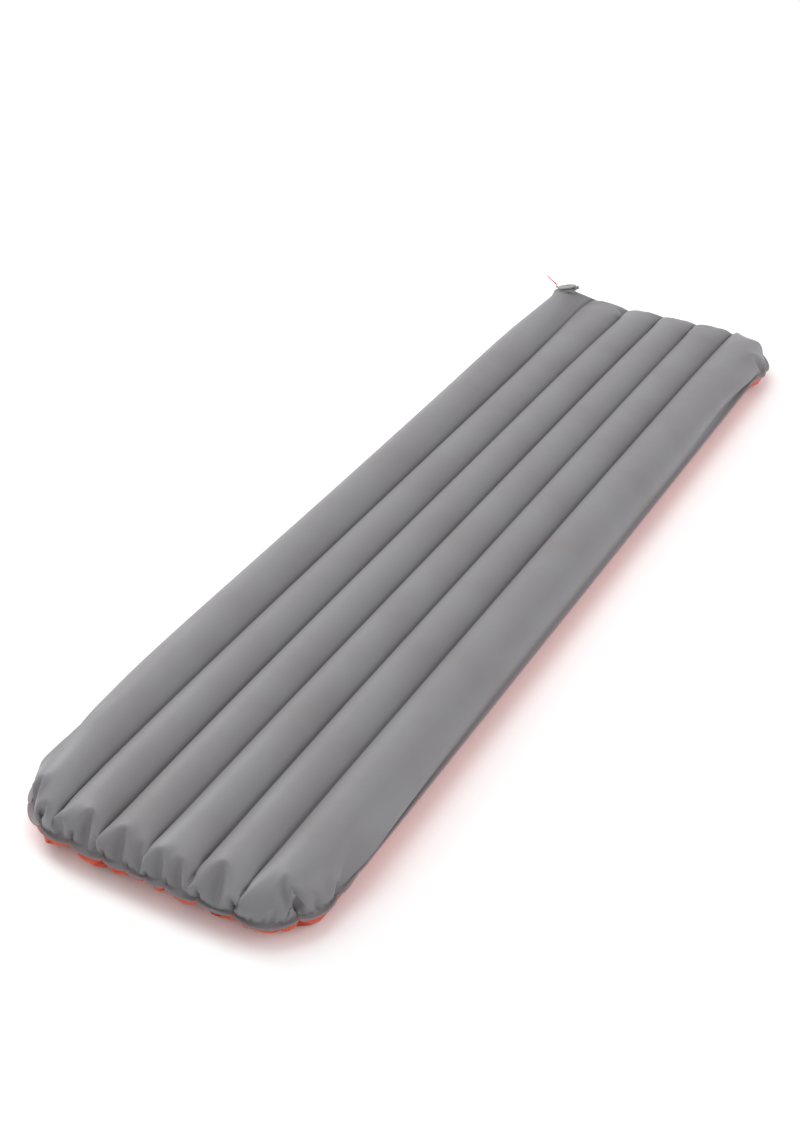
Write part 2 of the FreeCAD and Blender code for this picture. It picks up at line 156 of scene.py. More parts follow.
def round_corners(shape, across, along):
    """Bend the square corners of the grid into the rounded corners of the cut sheet."""
    side = shape.flat_half - 2 * shape.inner_arc
    a = np.abs(across) - (shape.flat_half - side)
    b = np.abs(along) - (shape.flat_end - side)
    inside = (a > 0) & (b > 0)
    ring = np.where(inside, np.maximum(a, b), 1.0)
    radius = FLAT_CORNER * ring / side
    straight = ring - radius
    total = 2 * straight + math.pi / 2 * radius
    turn = np.where(a >= b, b / ring, 2 - a / ring) / 2 * total
    angle = (turn - straight) / radius
    before, after = turn < straight, turn >= straight + math.pi / 2 * radius
    out_a = np.where(before, ring, np.where(after, total - turn, straight + radius * np.cos(angle)))
    out_b = np.where(before, turn, np.where(after, ring, straight + radius * np.sin(angle)))
    across = np.where(inside, np.sign(across) * (out_a + shape.flat_half - side), across)
    along = np.where(inside, np.sign(along) * (out_b + shape.flat_end - side), along)
    return across, along


def inflated_section(shape, across):
    """Where a line along the flat sheet lies in the inflated pad: x, and height over the middle."""
    flat = np.abs(across)
    tube = np.clip(np.floor(flat / shape.inner_arc), 0, 1)
    turn = (flat - (tube + 0.5) * shape.inner_arc) / shape.inner_radius
    x_inner = (tube + 0.5) * shape.pitch + shape.inner_radius * np.sin(turn)
    rise_inner = shape.inner_radius * np.cos(turn)
    past = flat - 2 * shape.inner_arc
    turn = np.minimum(past / shape.outer_radius - shape.groove_angle, math.pi / 2)
    x_outer = shape.outer_centre + shape.outer_radius * np.sin(turn)
    x_outer += np.maximum(past - shape.outer_arc, 0)
    rise_outer = shape.outer_radius * np.cos(turn)
    outer = past > 0
    x = np.sign(across) * np.where(outer, x_outer, x_inner)
    return x, np.where(outer, rise_outer, rise_inner)


def distance_in(shape, across, along):
    """Distance from the flat sheet's cut edge, and the length round it from the end's middle."""
    a = np.abs(across) - (shape.flat_half - FLAT_CORNER)
    b = np.abs(along) - (shape.flat_end - FLAT_CORNER)
    corner = (a > 0) & (b > 0)
    inward = np.minimum(shape.flat_half - np.abs(across), shape.flat_end - np.abs(along))
    inward = np.where(corner, FLAT_CORNER - np.hypot(a, b), inward)
    weld_radius = FLAT_CORNER - WELD
    start = shape.flat_half - FLAT_CORNER
    angle = np.arctan2(np.maximum(a, 1e-9), np.maximum(b, 1e-9))
    at_side = start + math.pi / 2 * weld_radius - b
    at_end = np.where(corner, start + angle * weld_radius, np.abs(across))
    round_it = np.where(b <= 0, at_side, at_end)
    return inward, round_it


def weld_plan(shape, length_round):
    """Plan of the inflated weld line: x, y from the middle, and its outward normal."""
    half_x = shape.half_width - WELD
    half_y = shape.half_length - WELD
    straight = half_x - PLAN_CORNER
    turn = np.clip((length_round - straight) / PLAN_CORNER, 0, math.pi / 2)
    x = np.minimum(length_round, straight) + PLAN_CORNER * np.sin(turn)
    down_side = np.maximum(length_round - straight - math.pi / 2 * PLAN_CORNER, 0)
    y = half_y - PLAN_CORNER * (1 - np.cos(turn)) - down_side
    y -= END_BOW * (x / half_x) ** 2
    return x, y, np.sin(turn), np.cos(turn)


def lobes(length_round, creases):
    """0 at each crease along the weld and rising to the lobe's depth between two creases."""
    creases = np.array(creases, float)
    here = np.clip(np.searchsorted(creases, length_round) - 1, 0, len(creases) - 2)
    gap = creases[here + 1] - creases[here]
    share = np.clip((length_round - creases[here]) / gap, 0, 1)
    depth = np.minimum(gap * LOBE_SHARE, LOBE_MOST)
    return depth * 4 * share * (1 - share)


def gathered(flat_round, flat_knots, plan_knots, creases):
    """Plan length for a length along the flat weld, and how deep it is tucked in at a crease.

    The flat weld is longer than the inflated one. Each crease takes up its share in a tuck."""
    creases = np.array(creases, float)
    middles = (creases[1:] + creases[:-1]) / 2
    edges = np.concatenate([creases[:1], middles, creases[-1:]])
    flat_edges = np.interp(edges, plan_knots, flat_knots)
    spare = np.diff(flat_edges) - np.diff(edges)
    depths = np.maximum(spare, 1.0) / 2 * TUCKED
    flat_creases = np.interp(creases, plan_knots, flat_knots)
    flat_breaks = np.stack([flat_creases - depths, flat_creases, flat_creases + depths], 1).ravel()
    plan_breaks = np.stack([creases - TUCK_MOUTH, creases, creases + TUCK_MOUTH], 1).ravel()
    tucks = np.stack([0 * depths, depths, 0 * depths], 1).ravel()
    outside = (flat_round < flat_breaks[0]) | (flat_round > flat_breaks[-1])
    plain = np.interp(flat_round, flat_knots, plan_knots)
    plan = np.where(outside, plain, np.interp(flat_round, flat_breaks, plan_breaks))
    return plan, np.where(outside, 0, np.interp(flat_round, flat_breaks, tucks))


def pinned_weld(shape, across, along):
    """Where every point of the weld is held."""
    inward, flat_round = distance_in(shape, across, along)
    start = shape.flat_half - FLAT_CORNER
    weld_corner = start + math.pi / 2 * (FLAT_CORNER - WELD)
    straight = shape.half_width - WELD - PLAN_CORNER
    corner_end = shape.half_length - WELD - PLAN_CORNER - END_BOW
    # the side beyond the corner keeps its length
    plan_corner = straight + math.pi / 2 * PLAN_CORNER + corner_end - (shape.flat_end - FLAT_CORNER)
    side_length = flat_round.max() - weld_corner
    flat_knots = np.array([0, shape.inner_arc, 2 * shape.inner_arc, weld_corner])
    plan_knots = np.array([0, shape.pitch, 2 * shape.pitch, plan_corner])
    flat_knots = np.append(flat_knots, weld_corner + side_length)
    plan_knots = np.append(plan_knots, plan_corner + side_length)
    flat_knots = np.concatenate([-flat_knots[:0:-1], flat_knots])
    plan_knots = np.concatenate([-plan_knots[:0:-1], plan_knots])
    side = np.where(across < 0, -1, 1)
    end = np.where(along < 0, -1, 1)
    plans, tucks, waves = [], [], []
    for creases in (FOOT_CREASES, HEAD_CREASES):
        plan, tuck = gathered(flat_round * side, flat_knots, plan_knots, creases)
        plans.append(plan)
        tucks.append(tuck)
        waves.append(lobes(plan, creases))
    foot = end < 0
    length_round = np.abs(np.where(foot, *plans))
    tuck, wave = np.where(foot, *tucks), np.where(foot, *waves)
    x, y, out_x, out_y = weld_plan(shape, length_round)
    near_end = np.clip((plan_corner + END_FADE - length_round) / END_FADE, 0, 1)
    beyond = WELD - inward
    pull_in = np.where(foot, PULL_IN_FOOT, PULL_IN_HEAD)
    reach = beyond + wave * near_end * LOBE_OUT - pull_in * near_end - tuck
    x = x + out_x * reach
    y = y + out_y * reach
    z = shape.middle - near_end * FLANGE_DROP - wave * near_end * LOBE_DOWN
    z += tuck * TUCK_RISE
    return np.stack([side * x, end * y, z])


class Sheets:
    """Two sheets welded at the rim, tied by baffles and blown up. Axis 1 is top, bottom."""

    def __init__(self, shape):
        self.shape = shape
        columns, rows = flat_columns(shape), flat_rows(shape)
        across, along = round_corners(shape, *np.meshgrid(columns, rows))
        inward, _ = distance_in(shape, across, along)
        self.across, self.along = across, along
        rings = np.minimum.outer(
            np.minimum(np.arange(len(rows)), np.arange(len(rows))[::-1]),
            np.minimum(np.arange(len(columns)), np.arange(len(columns))[::-1]),
        )
        self.welded = rings <= WELD_CELLS
        self.start(inward)
        middle = len(columns) // 2
        self.baffle_columns = [middle + number * INNER_CELLS for number in (-2, -1, 0, 1, 2)]
        self.baffle_rows = []
        for foot, head in zip(FOOT_INSETS, HEAD_INSETS):
            held = (rows > foot - shape.flat_end) & (rows < shape.flat_end - head)
            held = np.flatnonzero(held)
            self.baffle_rows.append(slice(held[0], held[-1] + 1))
        self.link()
        self.weigh()
        self.mask_bending()

    def start(self, inward):
        shape = self.shape
        x, rise = inflated_section(shape, self.across)
        round_end = START_ROUND
        from_weld = shape.flat_end - WELD - np.abs(self.along)
        turn = np.clip(from_weld / round_end, 0, math.pi / 2)
        curled = round_end * (1 - np.cos(turn))
        past = from_weld - (math.pi / 2) * round_end
        y = np.where(past > 0, round_end + past, curled)
        end = shape.flat_end - WELD - (math.pi / 2 - 1) * round_end
        y = np.sign(self.along) * (end - y)
        edge = np.sin(np.clip((inward - WELD) / round_end, 0, math.pi / 2))
        rise = np.minimum(rise * np.sin(turn), shape.outer_radius * edge)
        noise = np.random.default_rng(SEED).normal(0, START_NOISE, self.across.shape)
        self.points = np.stack([
            np.stack([x, y, shape.middle + side * rise + noise], 0) for side in (1, -1)
        ], 1).astype(np.float32)
        pins_all = pinned_weld(shape, self.across, self.along)
        self.pins = pins_all[:, None][..., self.welded]
        # near the weld the top sheet stays over the flange and the bottom sheet under it
        inside = np.maximum(inward - WELD, 0)
        margin = APART_SLOPE * inside
        self.above = np.where(inside < APART_SPAN, pins_all[2] + margin, 0).astype(np.float32)
        below = np.where(inside < APART_SPAN, pins_all[2] - margin, NO_LIMIT)
        self.below = below.astype(np.float32)
        near = np.exp(-np.maximum(inward - WELD, 0) / WELD_FADE)
        toward_weld = near * (pins_all[:, None] - self.points) * (inward < WELD_FADE_REACH)
        self.points += toward_weld.astype(np.float32)
        self.points[..., self.welded] = self.pins
        self.before = self.points.copy()

    def link(self):
        """Every point keeps its distance from its neighbours on the flat sheet."""
        flat = np.stack([self.across, self.along]).astype(np.float32)
        rows, columns = self.across.shape
        every = slice(None)
        self.links = []

        def add(first, second, stiffness):
            rest = np.sqrt(((flat[(every,) + first] - flat[(every,) + second]) ** 2).sum(0))
            whole = (every, every)
            self.links.append((whole + first, whole + second, rest, stiffness))

        for colour in (0, 1):
            add((every, slice(colour, columns - 1, 2)), (every, slice(colour + 1, columns, 2)), 1.0)
        for colour in (0, 1):
            add((slice(colour, rows - 1, 2), every), (slice(colour + 1, rows, 2), every), 1.0)
        for colour in (0, 1):
            low, high = slice(colour, rows - 1, 2), slice(colour + 1, rows, 2)
            left, right = slice(0, columns - 1), slice(1, columns)
            add((low, left), (high, right), DIAGONAL_STIFFNESS)
            add((low, right), (high, left), DIAGONAL_STIFFNESS)

    def weigh(self):
        """Share of the flat sheet that each point carries."""
        flat = np.stack([self.across, self.along])
        first = flat[:, 1:, 1:] - flat[:, :-1, :-1]
        second = flat[:, 1:, :-1] - flat[:, :-1, 1:]
        cell = np.abs(first[0] * second[1] - first[1] * second[0]) / 8
        self.area = spread(cell).astype(np.float32)

    def mask_bending(self):
        rows, columns = self.across.shape
        self.bend_across = np.ones((rows, columns), np.float32)
        self.bend_along = np.ones((rows, columns), np.float32)
        for column, held in zip(self.baffle_columns, self.baffle_rows):
            self.bend_across[held, column - 1:column + 2] = 0
        low, high = WELD_CELLS - 1, WELD_CELLS + 2
        self.bend_across[:, low:high] = 0
        self.bend_across[:, columns - high:columns - low] = 0
        self.bend_along[low:high] = 0
        self.bend_along[rows - high:rows - low] = 0

    def push(self):
        """Pressure on every cell inside the weld, along its normal."""
        points = self.points
        first = points[:, :, 1:, 1:] - points[:, :, :-1, :-1]
        second = points[:, :, 1:, :-1] - points[:, :, :-1, 1:]
        force = np.empty_like(first)
        for axis in range(3):
            after, last = (axis + 1) % 3, (axis + 2) % 3
            force[axis] = first[after] * second[last] - first[last] * second[after]
        force *= PRESSURE / 8
        force[:, 1] *= -1
        weld = WELD_CELLS
        force[:, :, :weld] = force[:, :, -weld:] = 0
        force[..., :weld] = force[..., -weld:] = 0
        return spread(force) / self.area

    def step(self, damping, strength):
        moved = np.clip((self.points - self.before) * damping, -FASTEST, FASTEST)
        moved += self.push() * strength
        moved[2] -= WEIGHT
        self.before = self.points
        self.points = points = self.points + moved
        for first, second, rest, stiffness in self.links:
            start, end = points[first], points[second]
            gap = end - start
            length = np.sqrt((gap * gap).sum(0)) + 1e-9
            gap *= 0.5 * stiffness * (1 - rest / length)
            points[first] = start + gap
            points[second] = end - gap
        curl = fourth_difference(points)
        points[..., 2:-2] -= BENDING * self.bend_across[:, 2:-2] * curl
        upright = points.swapaxes(2, 3)
        curl = fourth_difference(upright)
        upright[..., 2:-2] -= BENDING * self.bend_along.T[:, 2:-2] * curl
        for column, held in zip(self.baffle_columns, self.baffle_rows):
            top = points[:, 0, held, column]
            bottom = points[:, 1, held, column]
            gap = top - bottom
            pull = gap * 0.5 * np.maximum(1 - GROOVE_HEIGHT / np.sqrt((gap * gap).sum(0)), 0)
            top -= pull
            bottom += pull
        np.maximum(points[2, 0], self.above, out=points[2, 0])
        np.minimum(points[2, 1], self.below, out=points[2, 1])
        points[..., self.welded] = self.pins
        np.maximum(points[2], GAUGE, out=points[2])


def spread(cells):
    """Add each cell's value to its four corners."""
    shape = cells.shape[:-2] + (cells.shape[-2] + 1, cells.shape[-1] + 1)
    corners = np.zeros(shape, cells.dtype)
    corners[..., 1:, 1:] += cells
    corners[..., :-1, :-1] += cells
    corners[..., 1:, :-1] += cells
    corners[..., :-1, 1:] += cells
    return corners


def fourth_difference(values):
    return (
        values[..., 4:] - 4 * values[..., 3:-1] + 6 * values[..., 2:-2]
        - 4 * values[..., 1:-3] + values[..., :-4]
    )


def inflate(shape, steps):
    sheets = Sheets(shape)
    for number in range(steps):
        damping = EARLY_DAMPING if number < EARLY_SHARE * steps else LATE_DAMPING
        sheets.step(damping, min(1, number / PRESSURE_RAMP))
    return sheets


# ---- meshes made from the solver's points ----
SHEET_GAUGE = GAUGE * MM
HOLE_RADIUS = 17.5
HOLE_CUT = 17.0
# half width of the painted shade line along each groove
GROOVE_SHADE_HALF = 4.5


def sheet_mesh(name, sheets, layer, removed=None):
    """A smooth mesh of one sheet, with the flat cut as its UV map and the weld as an attribute."""
    points = sheets.points[:, layer].reshape(3, -1).T * MM
    rows, columns = sheets.across.shape
    index = np.arange(rows * columns).reshape(rows, columns)
    faces = np.stack([index[:-1, :-1], index[:-1, 1:], index[1:, 1:], index[1:, :-1]], -1)
    if removed is not None:
        faces = faces[~removed]
    faces = faces.reshape(-1, 4)
    if layer == 1:
        faces = faces[:, ::-1]
    mesh = bpy.data.meshes.new(name)
    mesh.from_pydata(points.tolist(), [], faces.tolist())
    mesh.polygons.foreach_set("use_smooth", [True] * len(mesh.polygons))
    flat = np.stack([sheets.across, sheets.along], -1).reshape(-1, 2) * MM
    corners = np.empty(len(mesh.loops), np.int32)
    mesh.loops.foreach_get("vertex_index", corners)
    uv = mesh.uv_layers.new(name="flat")
    uv.data.foreach_set("uv", flat[corners].astype(np.float32).ravel())
    inward, _ = distance_in(sheets.shape, sheets.across, sheets.along)
    weld = mesh.attributes.new("weld", "FLOAT", "POINT")
    weld.data.foreach_set("value", np.clip(1.5 - inward / WELD, 0, 1).astype(np.float32).ravel())
    # painted shade: a weight along each baffle's groove line, where the crease lies in shade; the
    # fabric darkens its colour there
    groove_shade = np.zeros((rows, columns), np.float32)
    for column, held in zip(sheets.baffle_columns, sheets.baffle_rows):
        away = np.abs(sheets.across - sheets.across[rows // 2, column])
        line = np.exp(-(away / GROOVE_SHADE_HALF) ** 2)
        groove_shade[held] = np.maximum(groove_shade[held], line[held])
    groove_shade_attribute = mesh.attributes.new("groove_shade", "FLOAT", "POINT")
    groove_shade_attribute.data.foreach_set("value", groove_shade.ravel())
    piece = bpy.data.objects.new(name, mesh)
    bpy.context.scene.collection.objects.link(piece)
    return piece


def thicken(piece, gauge, offset):
    """Give a sheet its gauge, and apply it."""
    loose_points(piece)
    solid = piece.modifiers.new("gauge", "SOLIDIFY")
    solid.thickness = gauge
    solid.offset = offset
    bpy.context.view_layer.update()
    evaluated = piece.evaluated_get(bpy.context.evaluated_depsgraph_get())
    thick = bpy.data.meshes.new_from_object(evaluated, preserve_all_data_layers=True,
                                            depsgraph=bpy.context.evaluated_depsgraph_get())
    piece.modifiers.clear()
    piece.data = thick
    thick.name = piece.name


def loose_points(piece):
    """Remove the points that no face uses, such as those inside the valve's hole."""
    work = bmesh.new()
    work.from_mesh(piece.data)
    bmesh.ops.delete(work, geom=[v for v in work.verts if not v.link_faces], context="VERTS")
    work.to_mesh(piece.data)
    work.free()


# ---- materials ----
def node_material(name):
    material = bpy.data.materials.new(name)
    material.use_nodes = True
    tree = material.node_tree
    shader = tree.nodes["Principled BSDF"]
    return material, tree, shader


def add_node(tree, kind, **inputs):
    node = tree.nodes.new(kind)
    for label, value in inputs.items():
        node.inputs[label.replace("_", " ")].default_value = value
    return node


def mix_colours(tree, factor, first, second):
    node = tree.nodes.new("ShaderNodeMix")
    node.data_type = "RGBA"
    for socket, value in ((0, factor), (6, first), (7, second)):
        if isinstance(value, bpy.types.NodeSocket):
            tree.links.new(value, node.inputs[socket])
        else:
            node.inputs[socket].default_value = value
    return node.outputs[2]


def mapped_range(tree, value, low, high, out_low=0.0, out_high=1.0):
    node = add_node(tree, "ShaderNodeMapRange", From_Min=low, From_Max=high,
                    To_Min=out_low, To_Max=out_high)
    tree.links.new(value, node.inputs["Value"])
    return node.outputs["Result"]


def math_node(tree, operation, first, second):
    node = tree.nodes.new("ShaderNodeMath")
    node.operation = operation
    for socket, value in enumerate((first, second)):
        if isinstance(value, bpy.types.NodeSocket):
            tree.links.new(value, node.inputs[socket])
        else:
            node.inputs[socket].default_value = value
    return node.outputs[0]


def weave(tree, coordinates, threads_per_metre):
    """Height of a plain weave: warp and weft threads over the flat cut of the sheet."""
    outputs = []
    for direction in ("X", "Y"):
        wave = add_node(tree, "ShaderNodeTexWave", Scale=threads_per_metre / 20.0, Distortion=0.6,
                        Detail=1.0, Detail_Scale=2.0)
        wave.bands_direction = direction
        tree.links.new(coordinates, wave.inputs["Vector"])
        outputs.append(wave.outputs["Fac"])
    return math_node(tree, "ADD", *outputs)


def fabric(name, colour, shade, weld_colour, roughness, sheen):
    """Coated fabric: fine weave, soft cloudy shade, faint ripstop squares and a weld band of its
    own colour.
    """
    material, tree, shader = node_material(name)
    flat = tree.nodes.new("ShaderNodeUVMap")
    flat.uv_map = "flat"
    cloud = add_node(tree, "ShaderNodeTexNoise", Scale=7.0, Detail=3.0, Roughness=0.55)
    tree.links.new(flat.outputs["UV"], cloud.inputs["Vector"])
    fleck = add_node(tree, "ShaderNodeTexNoise", Scale=900.0, Detail=2.0)
    tree.links.new(flat.outputs["UV"], fleck.inputs["Vector"])
    cloudy = mix_colours(tree, mapped_range(tree, cloud.outputs["Fac"], 0.35, 0.68), colour, shade)
    flecked = mix_colours(tree, mapped_range(tree, fleck.outputs["Fac"], 0.3, 0.8, 0.0, 0.16),
                          cloudy, (0.0, 0.0, 0.0, 1))
    weld = tree.nodes.new("ShaderNodeAttribute")
    weld.attribute_name = "weld"
    band = mapped_range(tree, weld.outputs["Fac"], 0.45, 0.6)
    # painted shade: the colour is darkened to a dark line along each groove, standing in for the
    # shade in the crease
    groove_shade = tree.nodes.new("ShaderNodeAttribute")
    groove_shade.attribute_name = "groove_shade"
    groove_shade_amount = mapped_range(tree, groove_shade.outputs["Fac"], 0.25, 1.0, 0.0, 0.75)
    groove_shade_colour = tuple(value * 0.3 for value in shade[:3]) + (1,)
    groove_shaded = mix_colours(tree, groove_shade_amount, flecked, groove_shade_colour)
    welded = mix_colours(tree, band, groove_shaded, weld_colour)
    tree.links.new(welded, shader.inputs["Base Color"])
    rough = mapped_range(tree, cloud.outputs["Fac"], 0.3, 0.7, roughness - 0.05, roughness + 0.05)
    tree.links.new(rough, shader.inputs["Roughness"])
    shader.inputs["Sheen Weight"].default_value = sheen
    shader.inputs["Sheen Roughness"].default_value = 0.45
    shader.inputs["Specular IOR Level"].default_value = 0.4
    threads = weave(tree, flat.outputs["UV"], 1100.0)
    puckers = add_node(tree, "ShaderNodeTexNoise", Scale=55.0, Detail=2.0)
    tree.links.new(flat.outputs["UV"], puckers.inputs["Vector"])
    raised = math_node(tree, "MULTIPLY", puckers.outputs["Fac"], 9.0)
    height = math_node(tree, "ADD", threads, raised)
    bump = add_node(tree, "ShaderNodeBump", Strength=0.35, Distance=0.00006)
    tree.links.new(height, bump.inputs["Height"])
    tree.links.new(bump.outputs["Normal"], shader.inputs["Normal"])
    return material


def moulded(name, colour, worn, roughness, grain=1400.0, depth=0.00003):
    """Moulded plastic or rubber: fine grain, and soft cloudy blotches of a second tone and of
    roughness.
    """
    material, tree, shader = node_material(name)
    place = tree.nodes.new("ShaderNodeTexCoord")
    cloud = add_node(tree, "ShaderNodeTexNoise", Scale=90.0, Detail=4.0)
    tree.links.new(place.outputs["Object"], cloud.inputs["Vector"])
    shade = mapped_range(tree, cloud.outputs["Fac"], 0.35, 0.7, 0.0, 0.7)
    tree.links.new(mix_colours(tree, shade, colour, worn), shader.inputs["Base Color"])
    rough = mapped_range(tree, cloud.outputs["Fac"], 0.3, 0.7, roughness - 0.06, roughness + 0.08)
    tree.links.new(rough, shader.inputs["Roughness"])
    speck = add_node(tree, "ShaderNodeTexNoise", Scale=grain, Detail=1.0)
    tree.links.new(place.outputs["Object"], speck.inputs["Vector"])
    bump = add_node(tree, "ShaderNodeBump", Strength=0.4, Distance=depth)
    tree.links.new(speck.outputs["Fac"], bump.inputs["Height"])
    tree.links.new(bump.outputs["Normal"], shader.inputs["Normal"])
    return material


def braided(name, colour, dark):
    """Cord: slanting strands in two shades."""
    material, tree, shader = node_material(name)
    place = tree.nodes.new("ShaderNodeTexCoord")
    strands = add_node(tree, "ShaderNodeTexWave", Scale=120.0, Distortion=1.5, Detail=2.0)
    strands.bands_direction = "DIAGONAL"
    tree.links.new(place.outputs["Object"], strands.inputs["Vector"])
    tree.links.new(mix_colours(tree, mapped_range(tree, strands.outputs["Fac"], 0.0, 1.0, 0.0, 0.6),
                               colour, dark), shader.inputs["Base Color"])
    shader.inputs["Roughness"].default_value = 0.7
    bump = add_node(tree, "ShaderNodeBump", Strength=0.6, Distance=0.0002)
    tree.links.new(strands.outputs["Fac"], bump.inputs["Height"])
    tree.links.new(bump.outputs["Normal"], shader.inputs["Normal"])
    return material


GREY = (0.176, 0.176, 0.184, 1)
GREY_WARM = (0.166, 0.154, 0.16, 1)
GREY_WELD = (0.19, 0.165, 0.171, 1)
ORANGE = (0.56, 0.07, 0.022, 1)
ORANGE_DEEP = (0.46, 0.05, 0.018, 1)
ORANGE_WELD = (0.5, 0.06, 0.02, 1)
FINISHES = {
    "top_fabric": fabric("top_fabric", GREY, GREY_WARM, GREY_WELD, 0.52, 0.12),
    "bottom_fabric": fabric("bottom_fabric", ORANGE, ORANGE_DEEP, ORANGE_WELD, 0.5, 0.1),
    "baffle_fabric": fabric("baffle_fabric", (0.42, 0.42, 0.42, 1), (0.36, 0.36, 0.36, 1),
                            (0.4, 0.4, 0.4, 1), 0.6, 0.1),
    "flange_film": moulded("flange_film", (0.3, 0.3, 0.3, 1), (0.25, 0.25, 0.25, 1), 0.4),
    "valve_plastic": moulded("valve_plastic", (0.165, 0.175, 0.16, 1), (0.22, 0.23, 0.21, 1), 0.42),
    "seal_rubber": moulded("seal_rubber", (0.02, 0.02, 0.02, 1), (0.035, 0.034, 0.033, 1), 0.62),
    "cord_red": braided("cord_red", (0.62, 0.09, 0.13, 1), (0.3, 0.03, 0.05, 1)),
}


def finish_piece(piece, slot):
    piece.data.materials.clear()
    piece.data.materials.append(FINISHES[slot])


# ---- the valve's place on the top sheet ----
SEAT = Vector((-0.205, 0.856, 0.0955))
SEAT_TURN = Matrix.Rotation(math.radians(-10), 3, "X") @ Matrix.Rotation(math.radians(-13), 3, "Y")
SEAT_HEIGHT = 0.009
SEAT_HELD = 22.0
SEAT_DEPTH = 20
SEAT_LEVEL = -0.25
SEAT_STEPS = 220
SEAT_DAMPING = 0.95
FLATTEN_SHARE = 0.5
RIM_OUTSIDE = 3
RIM_INSIDE = 4


def seat_frame(points):
    """Points in millimetres to the seat's own frame, and back."""
    turn = np.array(SEAT_TURN)
    local = np.tensordot(turn.T, points - np.array(SEAT).reshape(3, 1, 1) / MM, 1)
    return local, lambda moved: np.tensordot(turn, moved, 1) + np.array(SEAT).reshape(3, 1, 1) / MM


def settle_on_valve(sheets):
    """Hold the top sheet flat around the valve's neck while the rest settles, and pick the hole.

    Returns the faces to remove. The cut is not clean: some faces stay inside the hole and cross
    the valve's pieces."""
    local, back = seat_frame(sheets.points[:, 0].astype(float))
    radius = np.hypot(local[0], local[1])
    held = (radius < SEAT_HELD) & (local[2] > -SEAT_DEPTH)
    for number in range(SEAT_STEPS):
        local, _ = seat_frame(sheets.points[:, 0].astype(float))
        local[2] *= max(0.0, 1 - number / (FLATTEN_SHARE * SEAT_STEPS))
        sheets.points[:, 0][:, held] = back(local)[:, held]
        sheets.step(SEAT_DAMPING, 1.0)
    local, _ = seat_frame(sheets.points[:, 0].astype(float))
    local[2] = SEAT_LEVEL
    radius = np.hypot(local[0], local[1])
    rim = held & (radius < HOLE_RADIUS + RIM_OUTSIDE) & (radius > HOLE_CUT - RIM_INSIDE)
    scale = np.where(rim & (radius < HOLE_RADIUS), HOLE_RADIUS / np.maximum(radius, 1), 1)
    centre = (radius[:-1, :-1] + radius[1:, :-1] + radius[:-1, 1:] + radius[1:, 1:]) / 4
    near = held[:-1, :-1] & held[1:, 1:]
    local[0] *= scale
    local[1] *= scale
    sheets.points[:, 0][:, held] = back(local)[:, held]
    return near & (centre < HOLE_CUT)


WEB_LEVELS = 5


def baffle_mesh(name, sheets, column, held):
    """The web between the two sheets along one groove."""
    rows = range(held.start, held.stop)
    levels = WEB_LEVELS
    verts, faces, flats = [], [], []
    for row in rows:
        top = sheets.points[:, 0, row, column]
        bottom = sheets.points[:, 1, row, column]
        for level in range(levels):
            share = level / (levels - 1)
            verts.append(((top + (bottom - top) * share) * MM).tolist())
            flats.append((share * GROOVE_HEIGHT * MM, float(sheets.along[row, column]) * MM))
    for row in range(len(rows) - 1):
        for level in range(levels - 1):
            low = row * levels + level
            faces.append((low, low + 1, low + levels + 1, low + levels))
    mesh = bpy.data.meshes.new(name)
    mesh.from_pydata(verts, [], faces)
    mesh.polygons.foreach_set("use_smooth", [True] * len(faces))
    uv = mesh.uv_layers.new(name="flat")
    for loop in mesh.loops:
        uv.data[loop.index].uv = flats[loop.vertex_index]
    piece = bpy.data.objects.new(name, mesh)
    bpy.context.scene.collection.objects.link(piece)
    return piece


# ---- the pad ----
_, sheet_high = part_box("bottom_sheet")
pitch = (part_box("baffle_4")[0].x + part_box("baffle_4")[1].x) / 2 / MM
pad_shape = Shape(sheet_high.x / MM, sheet_high.y / MM, pitch, sheet_high.z / MM)
pad = inflate(pad_shape, STEPS)
hole = settle_on_valve(pad)

top = sheet_mesh("top_skin", pad, 0, hole)
bottom = sheet_mesh("bottom_skin", pad, 1)
for skin, node, slot in (
    (top, "top_sheet", "top_fabric"),
    (bottom, "bottom_sheet", "bottom_fabric"),
):
    thicken(skin, SHEET_GAUGE, 1.0)
    finish_piece(skin, slot)
    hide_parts(node)
    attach(skin, "pad")
for number, column in enumerate(pad.baffle_columns, start=1):
    web = baffle_mesh(f"web_{number}", pad, column, pad.baffle_rows[number - 1])
    finish_piece(web, "baffle_fabric")
    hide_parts(f"baffle_{number}")
    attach(web, "pad")

# ---- the valve ----
for item in frame["record"]["subparts"]:
    name, slot = item["node"], item["material_slot"]
    node = frame["nodes"][name]
    node.data.materials.clear()
    node.data.materials.append(FINISHES[slot])

CORD_ROUTE = [
    (-22.5, 0.0, 14.5),
    (-22.5, 0.0, 20.5),
    (-30.0, 1.0, 26.8),
    (-35.5, 2.5, 30.2),
    (-42.0, 4.0, 36.4),
]
CORD_RADIUS = 0.0011
seat_rise = Vector((0, 0, SEAT_HEIGHT))
route = [SEAT + SEAT_TURN @ (Vector(point) * MM - seat_rise) for point in CORD_ROUTE]
line = bpy.data.curves.new("cord", "CURVE")
line.dimensions = "3D"
line.bevel_depth = CORD_RADIUS
line.bevel_resolution = 4
line.resolution_u = 12
line.use_fill_caps = True
spline = line.splines.new("NURBS")
spline.points.add(len(route) - 1)
for point, place in zip(spline.points, route):
    point.co = (*place, 1)
spline.order_u = 3
spline.use_endpoint_u = True
cord = bpy.data.objects.new("cord", line)
bpy.context.scene.collection.objects.link(cord)
cord.data.materials.append(FINISHES["cord_red"])
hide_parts("pull_cord")
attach(cord, "cap")

